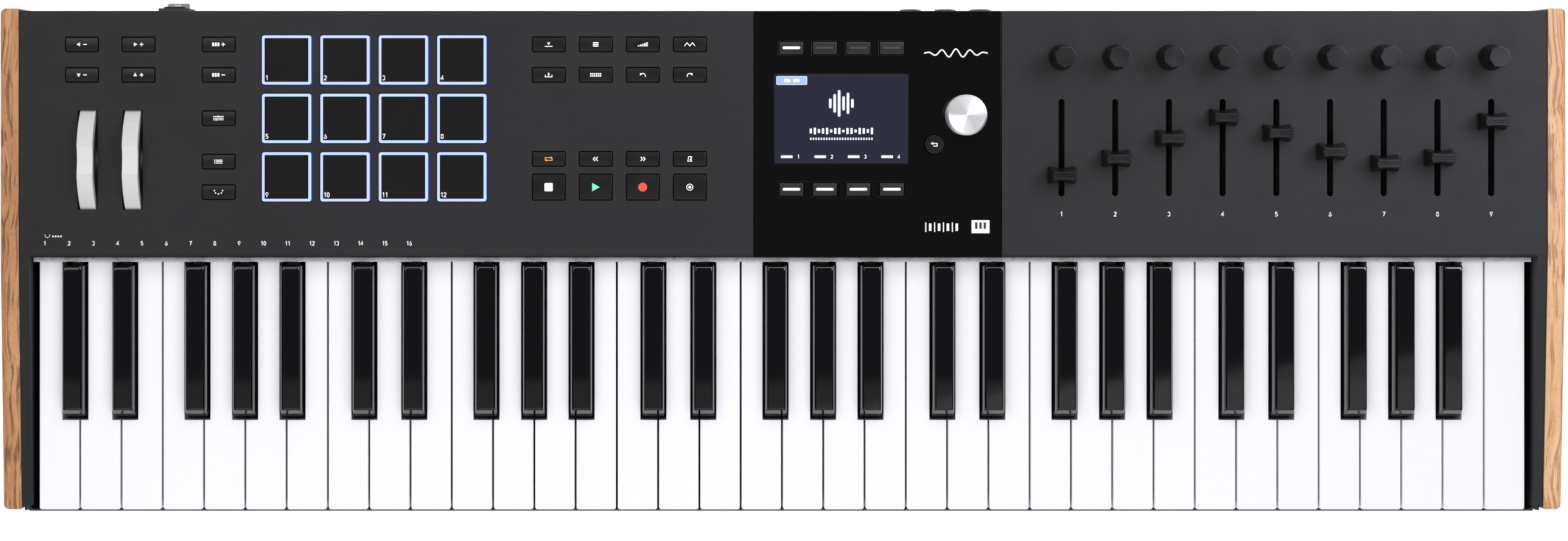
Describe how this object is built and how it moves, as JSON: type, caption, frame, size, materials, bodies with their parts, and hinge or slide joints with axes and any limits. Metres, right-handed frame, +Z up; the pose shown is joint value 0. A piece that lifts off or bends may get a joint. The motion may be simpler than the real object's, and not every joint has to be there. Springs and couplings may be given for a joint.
{
  "type": "keyboard controller",
  "caption": "Keyboard controller with wooden end cheeks: piano-style keys, pads, buttons, knobs, faders, two wheels, a dial and a display in a low metal case.",
  "frame": {"origin": "middle of the footprint, on the surface that the feet rest on", "axes": "+X along the keys towards the high notes, +Y towards the rear, +Z up"},
  "size_m": [0.8844, 0.2908, 0.073],
  "materials": {
    "panel_metal": "fine matte texture",
    "case_metal": "matte",
    "gloss_panel": "high gloss",
    "display_glass": "glossy, lit",
    "cheek_wood": "satin oiled",
    "white_key": "satin gloss",
    "black_key": "gloss",
    "button_cap": "satin",
    "pad_silicone": "matte silicone",
    "wheel_plastic": "satin",
    "knob_plastic": "satin",
    "silver_metal": "spun",
    "foot_rubber": "matte",
    "felt": "fuzzy",
    "circuit_board": "solder mask",
    "frame_plastic": "moulded"
  },
  "bodies": {
    "root": {"bottom_case": "case_metal", "top_panel": "panel_metal", "centre_panel": "gloss_panel", "left_cheek": "cheek_wood", "right_cheek": "cheek_wood", "key_frame": "frame_plastic", "key_contact_board": "circuit_board", "felt_strip": "felt", "main_board": "circuit_board", "jack_board": "circuit_board", "control_board": "circuit_board", "display_module": "display_glass", "wheel_box": "frame_plastic", "foot_front_left": "foot_rubber", "foot_front_right": "foot_rubber", "foot_rear_left": "foot_rubber", "foot_rear_right": "foot_rubber"},
    "power_switch": {"power_switch": "button_cap"},
    "pad_mat": {"pad_mat": "pad_silicone"},
    "left_buttons": {"left_buttons": "button_cap"},
    "function_buttons": {"function_buttons": "button_cap"},
    "transport_buttons": {"transport_buttons": "button_cap"},
    "screen_buttons": {"screen_buttons": "button_cap"},
    "back_button": {"back_button": "button_cap"},
    "main_encoder": {"main_encoder": "silver_metal"},
    "pitch_wheel": {"pitch_wheel": "wheel_plastic"},
    "modulation_wheel": {"modulation_wheel": "wheel_plastic"},
    "knob_1": {"knob_1": "knob_plastic"},
    "fader_1": {"fader_1": "knob_plastic"},
    "knob_2": {"knob_2": "knob_plastic"},
    "fader_2": {"fader_2": "knob_plastic"},
    "knob_3": {"knob_3": "knob_plastic"},
    "fader_3": {"fader_3": "knob_plastic"},
    "knob_4": {"knob_4": "knob_plastic"},
    "fader_4": {"fader_4": "knob_plastic"},
    "knob_5": {"knob_5": "knob_plastic"},
    "fader_5": {"fader_5": "knob_plastic"},
    "knob_6": {"knob_6": "knob_plastic"},
    "fader_6": {"fader_6": "knob_plastic"},
    "knob_7": {"knob_7": "knob_plastic"},
    "fader_7": {"fader_7": "knob_plastic"},
    "knob_8": {"knob_8": "knob_plastic"},
    "fader_8": {"fader_8": "knob_plastic"},
    "knob_9": {"knob_9": "knob_plastic"},
    "fader_9": {"fader_9": "knob_plastic"},
    "octave_1_keys_c_e_g_b": {"octave_1_keys_c_e_g_b": "white_key"},
    "octave_1_keys_d_f_a": {"octave_1_keys_d_f_a": "white_key"},
    "octave_1_keys_sharps": {"octave_1_keys_sharps": "black_key"},
    "octave_2_keys_c_e_g_b": {"octave_2_keys_c_e_g_b": "white_key"},
    "octave_2_keys_d_f_a": {"octave_2_keys_d_f_a": "white_key"},
    "octave_2_keys_sharps": {"octave_2_keys_sharps": "black_key"},
    "octave_3_keys_c_e_g_b": {"octave_3_keys_c_e_g_b": "white_key"},
    "octave_3_keys_d_f_a": {"octave_3_keys_d_f_a": "white_key"},
    "octave_3_keys_sharps": {"octave_3_keys_sharps": "black_key"},
    "octave_4_keys_c_e_g_b": {"octave_4_keys_c_e_g_b": "white_key"},
    "octave_4_keys_d_f_a": {"octave_4_keys_d_f_a": "white_key"},
    "octave_4_keys_sharps": {"octave_4_keys_sharps": "black_key"},
    "octave_5_keys_c_e_g_b": {"octave_5_keys_c_e_g_b": "white_key"},
    "octave_5_keys_d_f_a": {"octave_5_keys_d_f_a": "white_key"},
    "octave_5_keys_sharps": {"octave_5_keys_sharps": "black_key"}
  },
  "joints": [
    {"name": "octave_1_keys_c_e_g_b_press", "type": "hinge", "parent": "root", "child": "octave_1_keys_c_e_g_b", "pos_m": [-0.34075, 0.011, 0.0235], "axis": [1, 0, 0], "range_deg": [0, 3.6], "stiffness_Nm_per_rad": 2, "springref_deg": -14.32},
    {"name": "octave_1_keys_d_f_a_press", "type": "hinge", "parent": "root", "child": "octave_1_keys_d_f_a", "pos_m": [-0.34075, 0.011, 0.0277], "axis": [1, 0, 0], "range_deg": [0, 3.6], "stiffness_Nm_per_rad": 2, "springref_deg": -14.32},
    {"name": "octave_1_keys_sharps_press", "type": "hinge", "parent": "root", "child": "octave_1_keys_sharps", "pos_m": [-0.34075, 0.011, 0.0319], "axis": [1, 0, 0], "range_deg": [0, 3.6], "stiffness_Nm_per_rad": 2, "springref_deg": -14.32},
    {"name": "octave_2_keys_c_e_g_b_press", "type": "hinge", "parent": "root", "child": "octave_2_keys_c_e_g_b", "pos_m": [-0.17625, 0.011, 0.0235], "axis": [1, 0, 0], "range_deg": [0, 3.6], "stiffness_Nm_per_rad": 2, "springref_deg": -14.32},
    {"name": "octave_2_keys_d_f_a_press", "type": "hinge", "parent": "root", "child": "octave_2_keys_d_f_a", "pos_m": [-0.17625, 0.011, 0.0277], "axis": [1, 0, 0], "range_deg": [0, 3.6], "stiffness_Nm_per_rad": 2, "springref_deg": -14.32},
    {"name": "octave_2_keys_sharps_press", "type": "hinge", "parent": "root", "child": "octave_2_keys_sharps", "pos_m": [-0.17625, 0.011, 0.0319], "axis": [1, 0, 0], "range_deg": [0, 3.6], "stiffness_Nm_per_rad": 2, "springref_deg": -14.32},
    {"name": "octave_3_keys_c_e_g_b_press", "type": "hinge", "parent": "root", "child": "octave_3_keys_c_e_g_b", "pos_m": [-0.01175, 0.011, 0.0235], "axis": [1, 0, 0], "range_deg": [0, 3.6], "stiffness_Nm_per_rad": 2, "springref_deg": -14.32},
    {"name": "octave_3_keys_d_f_a_press", "type": "hinge", "parent": "root", "child": "octave_3_keys_d_f_a", "pos_m": [-0.01175, 0.011, 0.0277], "axis": [1, 0, 0], "range_deg": [0, 3.6], "stiffness_Nm_per_rad": 2, "springref_deg": -14.32},
    {"name": "octave_3_keys_sharps_press", "type": "hinge", "parent": "root", "child": "octave_3_keys_sharps", "pos_m": [-0.01175, 0.011, 0.0319], "axis": [1, 0, 0], "range_deg": [0, 3.6], "stiffness_Nm_per_rad": 2, "springref_deg": -14.32},
    {"name": "octave_4_keys_c_e_g_b_press", "type": "hinge", "parent": "root", "child": "octave_4_keys_c_e_g_b", "pos_m": [0.15275, 0.011, 0.0235], "axis": [1, 0, 0], "range_deg": [0, 3.6], "stiffness_Nm_per_rad": 2, "springref_deg": -14.32},
    {"name": "octave_4_keys_d_f_a_press", "type": "hinge", "parent": "root", "child": "octave_4_keys_d_f_a", "pos_m": [0.15275, 0.011, 0.0277], "axis": [1, 0, 0], "range_deg": [0, 3.6], "stiffness_Nm_per_rad": 2, "springref_deg": -14.32},
    {"name": "octave_4_keys_sharps_press", "type": "hinge", "parent": "root", "child": "octave_4_keys_sharps", "pos_m": [0.15275, 0.011, 0.0319], "axis": [1, 0, 0], "range_deg": [0, 3.6], "stiffness_Nm_per_rad": 2, "springref_deg": -14.32},
    {"name": "octave_5_keys_c_e_g_b_press", "type": "hinge", "parent": "root", "child": "octave_5_keys_c_e_g_b", "pos_m": [0.329, 0.011, 0.0235], "axis": [1, 0, 0], "range_deg": [0, 3.6], "stiffness_Nm_per_rad": 2, "springref_deg": -14.32},
    {"name": "octave_5_keys_d_f_a_press", "type": "hinge", "parent": "root", "child": "octave_5_keys_d_f_a", "pos_m": [0.329, 0.011, 0.0277], "axis": [1, 0, 0], "range_deg": [0, 3.6], "stiffness_Nm_per_rad": 2, "springref_deg": -14.32},
    {"name": "octave_5_keys_sharps_press", "type": "hinge", "parent": "root", "child": "octave_5_keys_sharps", "pos_m": [0.329, 0.011, 0.0319], "axis": [1, 0, 0], "range_deg": [0, 3.6], "stiffness_Nm_per_rad": 2, "springref_deg": -14.32},
    {"name": "left_buttons_press", "type": "slide", "parent": "root", "child": "left_buttons", "axis": [0, 0, -1], "range_m": [0, 0.0008], "stiffness_N_per_m": 800, "springref_m": -0.002},
    {"name": "function_buttons_press", "type": "slide", "parent": "root", "child": "function_buttons", "axis": [0, 0, -1], "range_m": [0, 0.0008], "stiffness_N_per_m": 800, "springref_m": -0.002},
    {"name": "transport_buttons_press", "type": "slide", "parent": "root", "child": "transport_buttons", "axis": [0, 0, -1], "range_m": [0, 0.0008], "stiffness_N_per_m": 800, "springref_m": -0.002},
    {"name": "screen_buttons_press", "type": "slide", "parent": "root", "child": "screen_buttons", "axis": [0, 0, -1], "range_m": [0, 0.0008], "stiffness_N_per_m": 800, "springref_m": -0.002},
    {"name": "back_button_press", "type": "slide", "parent": "root", "child": "back_button", "axis": [0, 0, -1], "range_m": [0, 0.0008], "stiffness_N_per_m": 300, "springref_m": -0.002},
    {"name": "pad_mat_press", "type": "slide", "parent": "root", "child": "pad_mat", "axis": [0, 0, -1], "range_m": [0, 0.0006], "stiffness_N_per_m": 2000, "springref_m": -0.002},
    {"name": "pitch_wheel_turn", "type": "hinge", "parent": "root", "child": "pitch_wheel", "pos_m": [-0.3928, 0.0559, 0.03], "axis": [1, 0, 0], "range_deg": [-38, 38], "stiffness_Nm_per_rad": 0.05},
    {"name": "modulation_wheel_turn", "type": "hinge", "parent": "root", "child": "modulation_wheel", "pos_m": [-0.3674, 0.0559, 0.03], "axis": [1, 0, 0], "range_deg": [-38, 38]},
    {"name": "main_encoder_turn", "type": "hinge", "parent": "root", "child": "main_encoder", "pos_m": [0.1025, 0.0813, 0.055], "axis": [0, 0, 1], "continuous": true},
    {"name": "knob_1_turn", "type": "hinge", "parent": "root", "child": "knob_1", "pos_m": [0.1571, 0.1138, 0.055], "axis": [0, 0, 1], "continuous": true},
    {"name": "knob_2_turn", "type": "hinge", "parent": "root", "child": "knob_2", "pos_m": [0.18743, 0.1138, 0.055], "axis": [0, 0, 1], "continuous": true},
    {"name": "knob_3_turn", "type": "hinge", "parent": "root", "child": "knob_3", "pos_m": [0.21776, 0.1138, 0.055], "axis": [0, 0, 1], "continuous": true},
    {"name": "knob_4_turn", "type": "hinge", "parent": "root", "child": "knob_4", "pos_m": [0.24809, 0.1138, 0.055], "axis": [0, 0, 1], "continuous": true},
    {"name": "knob_5_turn", "type": "hinge", "parent": "root", "child": "knob_5", "pos_m": [0.27842, 0.1138, 0.055], "axis": [0, 0, 1], "continuous": true},
    {"name": "knob_6_turn", "type": "hinge", "parent": "root", "child": "knob_6", "pos_m": [0.30875, 0.1138, 0.055], "axis": [0, 0, 1], "continuous": true},
    {"name": "knob_7_turn", "type": "hinge", "parent": "root", "child": "knob_7", "pos_m": [0.33908, 0.1138, 0.055], "axis": [0, 0, 1], "continuous": true},
    {"name": "knob_8_turn", "type": "hinge", "parent": "root", "child": "knob_8", "pos_m": [0.36941, 0.1138, 0.055], "axis": [0, 0, 1], "continuous": true},
    {"name": "knob_9_turn", "type": "hinge", "parent": "root", "child": "knob_9", "pos_m": [0.39974, 0.1138, 0.055], "axis": [0, 0, 1], "continuous": true},
    {"name": "fader_1_slide", "type": "slide", "parent": "root", "child": "fader_1", "axis": [0, 1, 0], "range_m": [-0.00705, 0.03795]},
    {"name": "fader_2_slide", "type": "slide", "parent": "root", "child": "fader_2", "axis": [0, 1, 0], "range_m": [-0.01645, 0.02855]},
    {"name": "fader_3_slide", "type": "slide", "parent": "root", "child": "fader_3", "axis": [0, 1, 0], "range_m": [-0.02785, 0.01715]},
    {"name": "fader_4_slide", "type": "slide", "parent": "root", "child": "fader_4", "axis": [0, 1, 0], "range_m": [-0.03965, 0.00535]},
    {"name": "fader_5_slide", "type": "slide", "parent": "root", "child": "fader_5", "axis": [0, 1, 0], "range_m": [-0.03085, 0.01415]},
    {"name": "fader_6_slide", "type": "slide", "parent": "root", "child": "fader_6", "axis": [0, 1, 0], "range_m": [-0.02035, 0.02465]},
    {"name": "fader_7_slide", "type": "slide", "parent": "root", "child": "fader_7", "axis": [0, 1, 0], "range_m": [-0.01385, 0.03115]},
    {"name": "fader_8_slide", "type": "slide", "parent": "root", "child": "fader_8", "axis": [0, 1, 0], "range_m": [-0.01695, 0.02805]},
    {"name": "fader_9_slide", "type": "slide", "parent": "root", "child": "fader_9", "axis": [0, 1, 0], "range_m": [-0.03745, 0.00755]},
    {"name": "power_switch_rock", "type": "hinge", "parent": "root", "child": "power_switch", "pos_m": [-0.3461, 0.1412, 0.029], "axis": [1, 0, 0], "range_deg": [-16, 0]}
  ]
}
